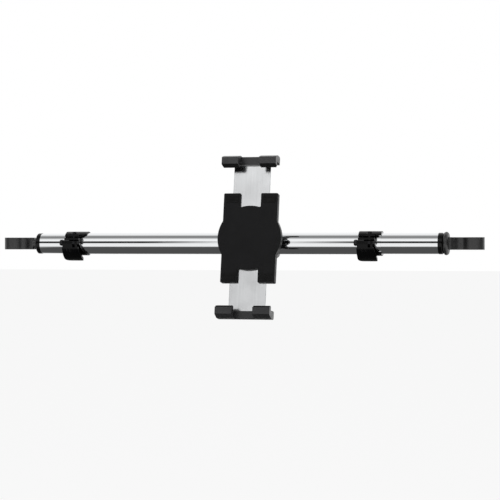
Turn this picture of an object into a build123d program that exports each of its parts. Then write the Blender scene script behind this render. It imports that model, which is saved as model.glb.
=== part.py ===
from build123d import *
from math import acos, cos, pi, radians, sin, tan
import os

# Telescopic mount: a pole with a hook at each end and, between them, a holder that slides, tilts and turns.
# Frame: X runs along the pole to the right, Y away from the user, Z up.
# The origin lies on the axis of the left hook's bore, at the height of the pole's axis. The pole runs in front of
# the bores, so pieces are drawn round the pole's axis and moved to this frame when they are saved.

# Fits
running_gap = 0.08  # radial play of a pin or shaft that turns
seat_gap = 0.05  # between pieces that are pressed, glued or bolted together
face_gap = 0.25  # between flat faces that turn or slide on each other

# Telescopic pole
center_tube_diameter = 28.2
center_tube_length = 429.0
end_tube_length = 175.0
tube_wall = 0.5
tube_slide_gap = 0.1
left_extension = 35.8  # length of the left end tube that shows at rest
right_extension = 73.0
kerf_count = 4  # saw cuts that let a tube end be squeezed
kerf_width = 1.2
kerf_length = 20.0
guide_collar_length = 6.0
guide_spigot_length = 12.0
guide_bore = 18.0

# Hook
post_diameter = 12.0
post_set_back = 7.5  # from the pole's axis back to the axis of the hook's bore
hook_reach = 46.4  # from the bore's axis to the end of the tube
hook_height = 16.0
hook_wall = 3.4
hook_stretch = 5.0  # the wrap is drawn out by this towards the pole
liner_thickness = 1.6
mouth_half_angle = 60.0
mouth_round = 1.4
neck_root = 6.0  # half the thickness beside the flange
neck_root_length = 2.5
neck_root_round = 4.0
waist_reach = 21.5  # from the bore's axis to the thinnest place of the neck
waist_front = 2.0  # behind the pole's axis
waist_back = 9.0
waist_round = 8.0
wrap_front_blend = 6.0
wrap_back_blend = 3.0
flange_diameter = 29.9  # of the right hook
flange_thickness = 6.6
boss_end_diameter = 14.6  # the left hook has a plain boss in place of the flange
band_lap = 0.6  # how far the band reaches into the flange or the boss
plug_ring_diameter = 27.6
plug_ring_length = 6.2
plug_ring_round = 1.7  # on the flange's side
plug_ring_inner_round = 0.5  # on the tube's side
plug_spigot_length = 18.0
plug_floor = 7.6
plug_wall = 2.4
hook_bolt_diameter = 6.0
hook_bolt_head_diameter = 11.0
hook_bolt_head_height = 4.0
hook_bolt_depth = 11.0  # how far it screws into the hook

# Flip clamp on each end of the centre tube
clamp_length = 29.5
collar_wall = 1.9
scallop_depth = 7.0
scallop_half_height = 13.0
hinge_pin_diameter = 4.0
hinge_pin_height = 1.0  # above the pole's axis
hinge_pin_head_diameter = 8.2
hinge_pin_head_length = 4.2
hinge_pin_head_round = 2.0
hinge_pin_tail_length = 2.9  # riveted end
hinge_pin_tail_round = 0.8
knuckle_radius = 3.6
knuckle_gap = 0.4
barrel_length = 23.7
eye_start = 14.4  # along the barrel, from the collar's left edge
eye_side = 0.1  # wall of the bolt's eye past its shank, on each side
lever_gap = 3.9  # between collar and lever, room for a finger
lever_thickness = 3.3
lever_overhang = 0.7  # past each end of the barrel
lever_start_angle = 13.0  # measured down from the front
lever_end_angle = 84.0
lever_lap = 1.0  # degrees that the knuckles reach into the lever
lever_tip_round = 10.0
lever_far_tip_round = 5.0
lever_cut_height = 16.0  # lowest point of the corner cut, below the pole's axis
lever_rib_width = 1.9
lever_rib_proud = 0.6
lever_rib_places = (6.9, 10.9)  # from the collar's left edge
lever_rib_start_angle = 15.0
lever_rib_end_angle = 27.5
clamp_bolt_diameter = 3.0
clamp_bolt_head_diameter = 6.4
clamp_bolt_head_height = 3.0
lower_ear_thickness = 2.5
upper_ear_thickness = 3.0
slit_width = 2.0
ear_length = 14.0
ear_edge = 2.0  # wall in front of the clamp bolt

# Carriage on the centre tube
carriage_station = 262.0  # from the left end of the centre tube
holder_tilt = 10.5  # degrees that the holder leans back at rest
bush_length = 58.0
bush_wall = 1.6
bush_flange_wall = 3.9
bush_flange_length = 2.0
shell_wall = 4.0
shell_part_gap = 0.4
shell_ear_width = 46.0
shell_ear_rise = 9.0
shell_ear_thickness = 6.0
shell_screw_diameter = 4.0
shell_screw_pitch = 32.0
shell_screw_head_diameter = 7.2
shell_screw_head_height = 2.8
boss_diameter = 46.0
boss_height = 31.0  # of its front face, from the pole's axis
washer_thickness = 1.2
washer_margin = 0.6
swivel_bolt_diameter = 6.0
swivel_bolt_head_diameter = 9.6
swivel_bolt_head_height = 2.8
swivel_bolt_tail = 1.0  # past the nut
swivel_nut_flats = 10.0
swivel_nut_height = 5.0
nut_cover = 7.0  # boss wall in front of the nut

# Holder covers: a round hub with four prongs
hub_diameter = 84.4
prong_width = 22.5
prong_gap = 27.0
holder_height = 117.4
outline_round = 1.5
rear_wall = 2.6
front_wall = 3.4
side_wall = 2.5
tip_wall = 1.7
front_edge_round = 1.2
cover_screw_diameter = 3.0
cover_screw_head_diameter = 5.4
cover_screw_head_height = 1.5
cover_screw_depth = 3.4  # into the front cover
cover_screw_edge = 3.6  # from the screw's axis to the rim of the hub
cover_screw_rise = 10.0
grip_pad_width = 17.0
grip_pad_height = 10.0
grip_pad_recess = 0.6
grip_pad_proud = 1.0
grip_pad_tip_margin = 2.6
pinion_hub_wall = 1.6

# Sliding arms, racks and pinion
arm_width = 48.7
arm_thickness = 1.4
arm_gap = 0.35  # between the arms, and from an arm to a cover
arm_side_gap = 0.2
arm_tail = 4.7  # behind the slot
arm_corner_round = 2.0
gear_module = 1.0
gear_dedendum = 1.25  # in modules
pinion_teeth = 20
pressure_angle = 20.0
tooth_backlash = 0.06  # taken from each flank
slot_clearance = 0.8
jaw_travel_out = 20.0
jaw_travel_in = 28.0
tab_width = 4.0
tab_reach = 8.6
tab_station = 32.5  # from the hub's axis
spring_diameter = 3.4
spring_wire = 0.5
spring_post_diameter = 3.0
spring_post_station = 52.0

# Jaws
tablet_height = 191.5  # opening between the jaw pads at rest
tablet_room = 9.0  # depth of the slot under the lips
jaw_pad_thickness = 1.4
jaw_bar_height = 10.6
jaw_bar_recess = 0.3  # behind the face of the grip pads
lip_overlap = 4.4
lip_thickness = 8.6
lip_slope = 1.9  # rise of the lip's edge towards the front
jaw_front_height = 9.1
jaw_slope_depth = 11.2
jaw_ridge_round = 8.0
jaw_back_round = 3.0
jaw_edge_round = 0.8
lip_pad_thickness = 1.2  # of the rubber under the lip
jaw_pad_margin = 1.0
jaw_screw_pitch = 34.0
jaw_screw_rise = 4.4
jaw_screw_diameter = 3.0
jaw_screw_head_diameter = 5.4
jaw_screw_head_height = 1.8
jaw_screw_depth = 3.4

# Stations along the pole
left_tube_end = hook_reach
center_start = left_tube_end + left_extension
center_end = center_start + center_tube_length
right_tube_end = center_end + right_extension
right_post = right_tube_end + hook_reach
span_middle = Plane.YZ.offset(right_post / 2)
carriage_x = center_start + carriage_station

# Radii of the pole
center_radius = center_tube_diameter / 2
center_bore = center_radius - tube_wall
end_radius = center_bore - tube_slide_gap
end_bore = end_radius - tube_wall

# The holder's own frame: x to the right, y up along the arms, z straight out of the holder's face
lean = radians(holder_tilt)
face_normal = (0, -cos(lean), sin(lean))
holder_plane = Plane(origin=(carriage_x, 0, 0), x_dir=(1, 0, 0), z_dir=face_normal)
turned_plane = Plane(origin=(carriage_x, 0, 0), x_dir=(-1, 0, 0), z_dir=face_normal)
side_plane = Plane(origin=(carriage_x, 0, 0), x_dir=face_normal, z_dir=(-1, 0, 0))

os.makedirs("parts", exist_ok=True)
pole_place = Location((0, -post_set_back, 0))


def save(part, name):
    """Move a finished piece to its place in front of the bores, label it and write it."""
    piece = part.moved(pole_place)
    piece.label = name
    export_step(piece, f"parts/{name}.step")


# Hook: a round band and a neck, which ends in a plain boss on the left and in a flange on the right
liner_bore = post_diameter / 2
hook_bore = liner_bore + liner_thickness
wrap_radius = hook_bore + hook_wall
plug_ring_start = left_tube_end - plug_ring_length
flange_back = plug_ring_start - face_gap
flange_front = flange_back - flange_thickness
flange_round = flange_thickness / 2
mouth_angle = radians(90 - mouth_half_angle)
mouth_far = hook_reach
mouth_corners = [
    (0, post_set_back),
    (mouth_far * cos(mouth_angle), post_set_back + mouth_far * sin(mouth_angle)),
    (-mouth_far * cos(mouth_angle), post_set_back + mouth_far * sin(mouth_angle)),
]
root_end = flange_front - neck_root_length
band_end = flange_front + band_lap

with BuildPart() as hook_band:
    with BuildSketch(Plane.XY.offset(-hook_height / 2)) as band:
        Polygon(
            (band_end, -neck_root),
            (root_end, -neck_root),
            (waist_reach, waist_front),
            (0, waist_front),
            (0, waist_back),
            (waist_reach, waist_back),
            (root_end, neck_root),
            (band_end, neck_root),
            align=None,
        )
        fillet(band.vertices().sort_by_distance((root_end, -neck_root))[0], neck_root_round)
        fillet(band.vertices().sort_by_distance((waist_reach, waist_front))[0], waist_round)
        with Locations((hook_stretch / 2, post_set_back)):
            SlotCenterToCenter(hook_stretch, 2 * wrap_radius)
        with Locations((0, post_set_back)):
            Circle(hook_bore, mode=Mode.SUBTRACT)
        Polygon(*mouth_corners, align=None, mode=Mode.SUBTRACT)
        fillet(band.vertices().filter_by(lambda corner: corner.Y > waist_back), mouth_round)
        wrap_side = hook_stretch + wrap_radius
        fillet(band.vertices().sort_by_distance((wrap_side, waist_front))[0], wrap_front_blend)
        fillet(band.vertices().sort_by_distance((wrap_side, waist_back))[0], wrap_back_blend)
    extrude(amount=hook_height)

with BuildPart() as neck_boss:
    with BuildSketch(Plane.YZ.offset(flange_front)):
        Circle(boss_end_diameter / 2)
    extrude(amount=flange_thickness)

with BuildPart() as neck_flange:
    with BuildSketch(Plane.XZ):
        with BuildLine():
            rim_height = flange_diameter / 2 - flange_round
            Polyline((flange_front, rim_height), (flange_front, 0), (flange_back, 0), (flange_back, rim_height))
            ThreePointArc(
                (flange_back, rim_height),
                (flange_back - flange_round, flange_diameter / 2),
                (flange_front, rim_height),
            )
        make_face()
    revolve(axis=Axis.X)


def hook(neck_end):
    """Hook drawn for the left side, with the given end on its neck and the hole for its bolt."""
    with BuildPart() as moulding:
        add(hook_band.part)
        add(neck_end.part)
        with BuildSketch(Plane.YZ.offset(flange_back)):
            Circle(hook_bolt_diameter / 2 + seat_gap)
        extrude(amount=-hook_bolt_depth, mode=Mode.SUBTRACT)
    return moulding.part


save(hook(neck_boss), "left_hook")
with BuildPart() as right_hook:
    mirror(hook(neck_flange), about=span_middle)
save(right_hook.part, "right_hook")

with BuildPart() as left_hook_liner:
    with BuildSketch(Plane.XY.offset(-hook_height / 2)):
        with Locations((0, post_set_back)):
            Circle(hook_bore - seat_gap)
            Circle(liner_bore, mode=Mode.SUBTRACT)
        Polygon(*mouth_corners, align=None, mode=Mode.SUBTRACT)
    extrude(amount=hook_height)

# Bolt on which the hook turns: its head lies inside the plug, its thread in the hook
plug_floor_end = plug_ring_start + plug_floor
with BuildPart() as left_swivel_bolt:
    with BuildSketch(Plane.YZ.offset(flange_back - hook_bolt_depth + seat_gap)):
        Circle(hook_bolt_diameter / 2)
    extrude(amount=plug_floor_end + face_gap - flange_back + hook_bolt_depth - seat_gap)
    with BuildSketch(Plane.YZ.offset(plug_floor_end + face_gap)):
        RegularPolygon(hook_bolt_head_diameter / 2, 6)
    extrude(amount=hook_bolt_head_height)

# Plug in the tube's end, with the black neck ring beside the flange
plug_spigot_radius = end_bore - seat_gap
plug_end = left_tube_end + plug_spigot_length
with BuildPart() as left_end_plug:
    with BuildSketch(Plane.XZ):
        with BuildLine():
            Polyline(
                (plug_ring_start, 0),
                (plug_ring_start, plug_ring_diameter / 2),
                (left_tube_end, plug_ring_diameter / 2),
                (left_tube_end, plug_spigot_radius),
                (plug_end, plug_spigot_radius),
                (plug_end, plug_spigot_radius - plug_wall),
                (plug_floor_end, plug_spigot_radius - plug_wall),
                (plug_floor_end, 0),
                close=True,
            )
        make_face()
    revolve(axis=Axis.X)
    fillet(left_end_plug.edges().filter_by(GeomType.CIRCLE).group_by(Axis.X)[0], plug_ring_round)
    ring_rims = left_end_plug.edges().filter_by(GeomType.CIRCLE).sort_by(SortBy.RADIUS).group_by(SortBy.RADIUS)[-1]
    fillet(ring_rims.sort_by(Axis.X)[-1], plug_ring_inner_round)
    with BuildSketch(Plane.YZ.offset(plug_ring_start)):
        Circle(hook_bolt_diameter / 2 + running_gap)
    extrude(amount=plug_floor, mode=Mode.SUBTRACT)

with BuildPart() as left_tube:
    with BuildSketch(Plane.YZ.offset(left_tube_end)):
        Circle(end_radius)
        Circle(end_bore, mode=Mode.SUBTRACT)
    extrude(amount=end_tube_length)

# Bush on the tube's inner end, which keeps it in line inside the centre tube
left_tube_inner_end = left_tube_end + end_tube_length
with BuildPart() as left_guide_bush:
    with BuildSketch(Plane.YZ.offset(left_tube_inner_end - guide_spigot_length)):
        Circle(end_bore - seat_gap)
    extrude(amount=guide_spigot_length)
    with BuildSketch(Plane.YZ.offset(left_tube_inner_end)):
        Circle(end_radius)
    extrude(amount=guide_collar_length)
    with BuildSketch(Plane.YZ.offset(left_tube_inner_end - guide_spigot_length)):
        Circle(guide_bore / 2)
    extrude(amount=guide_spigot_length + guide_collar_length, mode=Mode.SUBTRACT)

end_pieces = {
    "hook_liner": left_hook_liner,
    "swivel_bolt": left_swivel_bolt,
    "end_plug": left_end_plug,
    "tube": left_tube,
    "guide_bush": left_guide_bush,
}
for piece_name, left_piece in end_pieces.items():
    with BuildPart() as right_piece:
        mirror(left_piece.part, about=span_middle)
    save(left_piece.part, f"left_{piece_name}")
    save(right_piece.part, f"right_{piece_name}")

# Centre tube with saw cuts under both clamps
with BuildPart() as center_tube:
    with BuildSketch(Plane.YZ.offset(center_start)):
        Circle(center_radius)
        Circle(center_bore, mode=Mode.SUBTRACT)
    extrude(amount=center_tube_length)
    for kerf_start in (center_start, center_end - kerf_length):
        with BuildSketch(Plane.YZ.offset(kerf_start)):
            with PolarLocations(center_radius, kerf_count, start_angle=180 / kerf_count):
                Rectangle(center_radius, kerf_width)
        extrude(amount=kerf_length, mode=Mode.SUBTRACT)
save(center_tube.part, "center_tube")

# Flip clamp: split collar with two ears, lever, hinge pin and tension bolt
collar_bore = center_radius + seat_gap
collar_radius = collar_bore + collar_wall
pin_radius = hinge_pin_diameter / 2
pin_reach = collar_radius + knuckle_radius + knuckle_gap
pin_place = (-pin_reach, hinge_pin_height)
lever_inner_radius = collar_radius + lever_gap
lever_outer_radius = lever_inner_radius + lever_thickness
eye_length = clamp_bolt_diameter + 2 * eye_side
clamp_bolt_x = eye_start + eye_length / 2
knuckle_end = barrel_length - hinge_pin_tail_length - face_gap
lever_length = barrel_length + lever_overhang
lower_ear_bottom = hinge_pin_height + knuckle_radius + knuckle_gap
slit_bottom = lower_ear_bottom + lower_ear_thickness
ear_top = slit_bottom + slit_width + upper_ear_thickness
ear_reach = pin_reach + clamp_bolt_diameter / 2 + ear_edge
scallop_radius = (scallop_half_height**2 + scallop_depth**2) / (2 * scallop_depth)


def lever_band(first_angle, last_angle, proud=0):
    """Face of the lever's curved section between two angles, counted down from the front."""
    with BuildSketch() as section:
        with BuildLine():
            outer = CenterArc((0, 0), lever_outer_radius + proud, 180 + first_angle, last_angle - first_angle)
            inner = CenterArc((0, 0), lever_inner_radius, 180 + first_angle, last_angle - first_angle)
            Line(outer @ 0, inner @ 0)
            Line(outer @ 1, inner @ 1)
        make_face()
    return section.sketch


for side, clamp_start in (("left", center_start), ("right", center_end - clamp_length)):
    with BuildPart() as collar:
        with BuildSketch(Plane.YZ.offset(clamp_start)):
            Circle(collar_radius)
        extrude(amount=clamp_length)
        with BuildSketch(Plane.YZ.offset(clamp_start + clamp_bolt_x - ear_length / 2)):
            with Locations((-ear_reach / 2, (lower_ear_bottom + ear_top) / 2)):
                Rectangle(ear_reach, ear_top - lower_ear_bottom)
        extrude(amount=ear_length)
        with BuildSketch(Plane.XY.offset(lower_ear_bottom)):
            with Locations((clamp_start + clamp_bolt_x, -pin_reach)):
                Circle(clamp_bolt_diameter / 2 + running_gap)
        extrude(amount=ear_top - lower_ear_bottom, mode=Mode.SUBTRACT)
        with BuildSketch(Plane.YZ.offset(clamp_start)):
            Circle(collar_bore)
            with Locations((-ear_reach / 2, slit_bottom + slit_width / 2)):
                Rectangle(ear_reach, slit_width)
        extrude(amount=clamp_length, mode=Mode.SUBTRACT)
        with BuildSketch(Plane.XZ):
            with Locations((clamp_start + clamp_length - scallop_depth + scallop_radius, 0)):
                Circle(scallop_radius)
        extrude(amount=ear_reach, mode=Mode.SUBTRACT)

    with BuildPart() as lever:
        with BuildSketch(Plane.YZ.offset(clamp_start - lever_overhang)):
            add(lever_band(lever_start_angle, lever_end_angle))
        extrude(amount=lever_length + lever_overhang)
        for corner, corner_round in ((0, lever_tip_round), (-1, lever_far_tip_round)):
            cross_edges = lever.edges().filter_by(GeomType.LINE).filter_by(Axis.X, reverse=True)
            fillet(cross_edges.group_by(Axis.X)[corner].sort_by(Axis.Z)[0], corner_round)
        with BuildSketch(Plane.XZ):
            Polygon(
                (clamp_start + knuckle_end, 0),
                (clamp_start + lever_length, 0),
                (clamp_start + lever_length, -lever_cut_height),
                align=None,
            )
        extrude(amount=lever_outer_radius, mode=Mode.SUBTRACT)
        for first, last in ((face_gap, eye_start - face_gap), (eye_start + eye_length + face_gap, knuckle_end)):
            with BuildSketch(Plane.YZ.offset(clamp_start + first)):
                with Locations(pin_place):
                    Circle(knuckle_radius)
                add(lever_band(0, lever_start_angle + lever_lap))
                with Locations(pin_place):
                    Circle(pin_radius + running_gap, mode=Mode.SUBTRACT)
            extrude(amount=last - first)
        for rib_place in lever_rib_places:
            with BuildSketch(Plane.YZ.offset(clamp_start + rib_place)):
                add(lever_band(lever_rib_start_angle, lever_rib_end_angle, lever_rib_proud))
            extrude(amount=lever_rib_width / 2, both=True)

    with BuildPart() as pin:
        with BuildSketch(Plane.YZ.offset(clamp_start)):
            with Locations(pin_place):
                Circle(pin_radius)
        extrude(amount=barrel_length)
        with BuildSketch(Plane.YZ.offset(clamp_start)):
            with Locations(pin_place):
                Circle(hinge_pin_head_diameter / 2)
        extrude(amount=-hinge_pin_head_length)
        fillet(pin.edges().filter_by(GeomType.CIRCLE).group_by(Axis.X)[0], hinge_pin_head_round)
        with BuildSketch(Plane.YZ.offset(clamp_start + barrel_length)):
            with Locations(pin_place):
                Circle(knuckle_radius)
        extrude(amount=-hinge_pin_tail_length)
        fillet(pin.edges().filter_by(GeomType.CIRCLE).group_by(Axis.X)[-1], hinge_pin_tail_round)

    with BuildPart() as bolt:
        with BuildSketch(Plane.YZ.offset(clamp_start + eye_start)):
            with Locations(pin_place):
                Circle(knuckle_radius)
        extrude(amount=eye_length)
        with BuildSketch(Plane.XY.offset(hinge_pin_height)):
            with Locations((clamp_start + clamp_bolt_x, -pin_reach)):
                Circle(clamp_bolt_diameter / 2)
        extrude(amount=ear_top - hinge_pin_height)
        with BuildSketch(Plane.XY.offset(ear_top)):
            with Locations((clamp_start + clamp_bolt_x, -pin_reach)):
                RegularPolygon(clamp_bolt_head_diameter / 2, 6)
        extrude(amount=clamp_bolt_head_height)
        with BuildSketch(Plane.YZ.offset(clamp_start + eye_start)):
            with Locations(pin_place):
                Circle(pin_radius + seat_gap)
        extrude(amount=eye_length, mode=Mode.SUBTRACT)

    save(collar.part, f"{side}_clamp_collar")
    save(lever.part, f"{side}_clamp_lever")
    save(pin.part, f"{side}_clamp_pin")
    save(bolt.part, f"{side}_clamp_bolt")

# Carriage: a flanged bush slides on the centre tube, and two shells turn on the bush
bush_bore = center_radius + running_gap
bush_radius = bush_bore + bush_wall
shell_bore = bush_radius + running_gap
shell_radius = shell_bore + shell_wall
shell_length = bush_length - 2 * bush_flange_length - 2 * face_gap
shell_ear_top = shell_radius + shell_ear_rise
shell_screw_height = shell_radius + shell_ear_rise / 2

with BuildPart() as pole_bush:
    with BuildSketch(Plane.YZ.offset(carriage_x)):
        Circle(bush_radius)
    extrude(amount=bush_length / 2, both=True)
    for flange_start in (carriage_x - bush_length / 2, carriage_x + bush_length / 2 - bush_flange_length):
        with BuildSketch(Plane.YZ.offset(flange_start)):
            Circle(bush_bore + bush_flange_wall)
        extrude(amount=bush_flange_length)
    with BuildSketch(Plane.YZ.offset(carriage_x)):
        Circle(bush_bore)
    extrude(amount=bush_length / 2, both=True, mode=Mode.SUBTRACT)
save(pole_bush.part, "pole_bush")


def half_shell(direction):
    """Half of the carriage's sleeve with its two screw flanges, towards or away from the holder."""
    with BuildPart() as half:
        with BuildSketch(side_plane):
            Circle(shell_radius)
            with Locations((direction * (shell_part_gap / 2 - shell_radius), 0)):
                Rectangle(2 * shell_radius, 2 * shell_radius, mode=Mode.SUBTRACT)
        extrude(amount=shell_length / 2, both=True)
        with BuildSketch(side_plane):
            with Locations((direction * (shell_ear_thickness + shell_part_gap) / 2, 0)):
                Rectangle(shell_ear_thickness, 2 * shell_ear_top)
        extrude(amount=shell_ear_width / 2, both=True)
    return half.part


nut_seat = boss_height - nut_cover
with BuildPart() as carriage_front:
    add(half_shell(1))
    with BuildSketch(holder_plane.offset(shell_part_gap / 2)):
        Circle(boss_diameter / 2)
    extrude(amount=boss_height - shell_part_gap / 2)
    with BuildSketch(side_plane):
        Circle(shell_bore)
    extrude(amount=shell_length / 2, both=True, mode=Mode.SUBTRACT)
    with BuildSketch(holder_plane):
        RegularPolygon(swivel_nut_flats / 2 + seat_gap, 6, major_radius=False)
    extrude(amount=nut_seat, mode=Mode.SUBTRACT)
    with BuildSketch(holder_plane):
        Circle(swivel_bolt_diameter / 2 + seat_gap)
        with GridLocations(shell_screw_pitch, 2 * shell_screw_height, 2, 2):
            Circle(shell_screw_diameter / 2 + seat_gap)
    extrude(amount=boss_height, mode=Mode.SUBTRACT)
save(carriage_front.part, "carriage_front")

with BuildPart() as carriage_rear:
    add(half_shell(-1))
    with BuildSketch(side_plane):
        Circle(shell_bore)
    extrude(amount=shell_length / 2, both=True, mode=Mode.SUBTRACT)
    with BuildSketch(holder_plane):
        with GridLocations(shell_screw_pitch, 2 * shell_screw_height, 2, 2):
            Circle(shell_screw_diameter / 2 + seat_gap)
    extrude(amount=-shell_radius, mode=Mode.SUBTRACT)
save(carriage_rear.part, "carriage_rear")

shell_ear_back = shell_part_gap / 2 + shell_ear_thickness
with BuildPart() as carriage_screws:
    with BuildSketch(holder_plane.offset(-shell_ear_back)):
        with GridLocations(shell_screw_pitch, 2 * shell_screw_height, 2, 2):
            Circle(shell_screw_diameter / 2)
    extrude(amount=2 * shell_ear_back)
    with BuildSketch(holder_plane.offset(-shell_ear_back)):
        with GridLocations(shell_screw_pitch, 2 * shell_screw_height, 2, 2):
            Circle(shell_screw_head_diameter / 2)
    extrude(amount=-shell_screw_head_height)
save(carriage_screws.part, "carriage_screws")

# Layers of the holder, as distances from the pole's axis
rear_face = boss_height + washer_thickness + face_gap
rear_floor = rear_face + rear_wall
lower_arm_back = rear_floor + arm_gap
upper_arm_back = lower_arm_back + arm_thickness + arm_gap
cover_roof = upper_arm_back + arm_thickness + arm_gap
front_face = cover_roof + front_wall
tablet_back = front_face + grip_pad_proud
part_line = upper_arm_back - arm_gap / 2
pinion_hub_top = cover_roof - face_gap
hub_shoulder = pinion_hub_top - swivel_bolt_head_height

# Turntable: washer on the boss, bolt through the rear cover, nut caught in the boss
with BuildPart() as friction_washer:
    with BuildSketch(holder_plane.offset(boss_height)):
        Circle(boss_diameter / 2 - washer_margin)
        Circle(swivel_bolt_diameter / 2 + seat_gap, mode=Mode.SUBTRACT)
    extrude(amount=washer_thickness)
save(friction_washer.part, "friction_washer")

bolt_tail = nut_seat - swivel_nut_height - swivel_bolt_tail
with BuildPart() as swivel_bolt:
    with BuildSketch(holder_plane.offset(bolt_tail)):
        Circle(swivel_bolt_diameter / 2)
    extrude(amount=hub_shoulder - bolt_tail)
    with BuildSketch(holder_plane.offset(hub_shoulder)):
        Circle(swivel_bolt_head_diameter / 2)
    extrude(amount=swivel_bolt_head_height)
save(swivel_bolt.part, "swivel_bolt")

with BuildPart() as swivel_nut:
    with BuildSketch(holder_plane.offset(nut_seat)):
        RegularPolygon(swivel_nut_flats / 2, 6, major_radius=False)
        Circle(swivel_bolt_diameter / 2 + seat_gap, mode=Mode.SUBTRACT)
    extrude(amount=-swivel_nut_height)
save(swivel_nut.part, "swivel_nut")

# Covers
hub_radius = hub_diameter / 2
prong_place = (prong_gap + prong_width) / 2
holder_width = prong_gap + 2 * prong_width
pocket_width = holder_width - 2 * side_wall
pocket_height = holder_height - 2 * tip_wall
arm_slot_width = arm_width + 2 * arm_side_gap
cover_screw_x = (hub_radius**2 - cover_screw_rise**2) ** 0.5 - cover_screw_edge
spring_place = (arm_width / 2 + pocket_width / 2) / 2
head_room = swivel_bolt_head_diameter / 2 + running_gap
pinion_hub_radius = head_room + pinion_hub_wall
cover_screw_top = part_line + cover_screw_depth


def holder_outline():
    """Round hub with two prongs up and two down."""
    with BuildSketch() as outline:
        Circle(hub_radius)
        with GridLocations(2 * prong_place, holder_height / 2, 2, 2):
            Rectangle(prong_width, holder_height / 2)
        fillet(outline.vertices(), outline_round)
    return outline.sketch


def arm_room(bottom, depth):
    """Pocket for arms, springs and pinion, with the slots by which the arms leave at the prong tips."""
    with BuildPart() as room:
        with BuildSketch(holder_plane.offset(bottom)):
            Rectangle(pocket_width, pocket_height)
            Rectangle(arm_slot_width, holder_height + 2 * tip_wall)
        extrude(amount=depth)
    return room.part


with BuildPart() as holder_rear:
    with BuildSketch(holder_plane.offset(rear_face)):
        add(holder_outline())
    extrude(amount=part_line - face_gap / 2 - rear_face)
    add(arm_room(rear_floor, part_line - rear_floor), mode=Mode.SUBTRACT)
    with BuildSketch(holder_plane.offset(rear_face)):
        Circle(pinion_hub_radius)
    extrude(amount=pinion_hub_top - rear_face)
    with BuildSketch(holder_plane.offset(rear_face)):
        with Locations((spring_place, -spring_post_station), (-spring_place, spring_post_station)):
            Circle(spring_post_diameter / 2)
    extrude(amount=pinion_hub_top - rear_face)
    with BuildSketch(holder_plane.offset(rear_face)):
        Circle(swivel_bolt_diameter / 2 + running_gap)
        with GridLocations(2 * cover_screw_x, 2 * cover_screw_rise, 2, 2):
            Circle(cover_screw_diameter / 2 + seat_gap)
    extrude(amount=pinion_hub_top - rear_face, mode=Mode.SUBTRACT)
    with BuildSketch(holder_plane.offset(hub_shoulder - running_gap)):
        Circle(head_room)
    extrude(amount=pinion_hub_top, mode=Mode.SUBTRACT)
    with BuildSketch(holder_plane.offset(rear_face)):
        with GridLocations(2 * cover_screw_x, 2 * cover_screw_rise, 2, 2):
            Circle(cover_screw_head_diameter / 2 + seat_gap)
    extrude(amount=cover_screw_head_height, mode=Mode.SUBTRACT)
save(holder_rear.part, "holder_rear")

pad_x = prong_place
pad_y = holder_height / 2 - grip_pad_tip_margin - grip_pad_height / 2
with BuildPart() as holder_front:
    with BuildSketch(holder_plane.offset(part_line)):
        add(holder_outline())
    extrude(amount=front_face - part_line)
    rim = holder_front.faces().sort_by(Axis((0, 0, 0), face_normal))[-1]
    fillet(rim.edges(), front_edge_round)
    add(arm_room(part_line, cover_roof - part_line), mode=Mode.SUBTRACT)
    with BuildSketch(holder_plane.offset(part_line)):
        with GridLocations(2 * cover_screw_x, 2 * cover_screw_rise, 2, 2):
            Circle(cover_screw_diameter / 2 + seat_gap)
    extrude(amount=cover_screw_depth + seat_gap, mode=Mode.SUBTRACT)
    with BuildSketch(holder_plane.offset(front_face)):
        with GridLocations(2 * pad_x, 2 * pad_y, 2, 2):
            Rectangle(grip_pad_width + 2 * seat_gap, grip_pad_height + 2 * seat_gap)
    extrude(amount=-grip_pad_recess, mode=Mode.SUBTRACT)
save(holder_front.part, "holder_front")

with BuildPart() as front_pads:
    with BuildSketch(holder_plane.offset(front_face - grip_pad_recess)):
        with GridLocations(2 * pad_x, 2 * pad_y, 2, 2):
            Rectangle(grip_pad_width, grip_pad_height)
    extrude(amount=grip_pad_recess + grip_pad_proud)
save(front_pads.part, "front_pads")

with BuildPart() as holder_screws:
    with BuildSketch(holder_plane.offset(rear_face + cover_screw_head_height)):
        with GridLocations(2 * cover_screw_x, 2 * cover_screw_rise, 2, 2):
            Circle(cover_screw_diameter / 2)
    extrude(amount=cover_screw_top - rear_face - cover_screw_head_height)
    with BuildSketch(holder_plane.offset(rear_face)):
        with GridLocations(2 * cover_screw_x, 2 * cover_screw_rise, 2, 2):
            Circle(cover_screw_head_diameter / 2)
    extrude(amount=cover_screw_head_height)
save(holder_screws.part, "holder_screws")

# Pinion and racks: involute flanks on the pinion, straight flanks on the racks
pitch_radius = gear_module * pinion_teeth / 2
base_radius = pitch_radius * cos(radians(pressure_angle))
tip_radius = pitch_radius + gear_module
root_radius = pitch_radius - gear_dedendum * gear_module
tooth_pitch = pi * gear_module
flank_slope = tan(radians(pressure_angle))


def involute(angle):
    """Involute function of an angle in radians."""
    return tan(angle) - angle


def tooth_half_angle(radius):
    """Half the angle that a pinion tooth spans at a radius, in radians."""
    at_pitch = pi / (2 * pinion_teeth) - tooth_backlash / pitch_radius
    return at_pitch + involute(radians(pressure_angle)) - involute(acos(base_radius / radius))


def tooth_points(middle):
    """Outline of one pinion tooth about the angle of its middle, from root to root."""
    radii = [base_radius, pitch_radius, tip_radius]
    angles = [tooth_half_angle(r) for r in radii]
    rising = [(root_radius, -angles[0])] + [(r, -a) for r, a in zip(radii, angles)]
    falling = [(r, -a) for r, a in reversed(rising)]
    return [(r * cos(middle + a), r * sin(middle + a)) for r, a in rising + falling]


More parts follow.
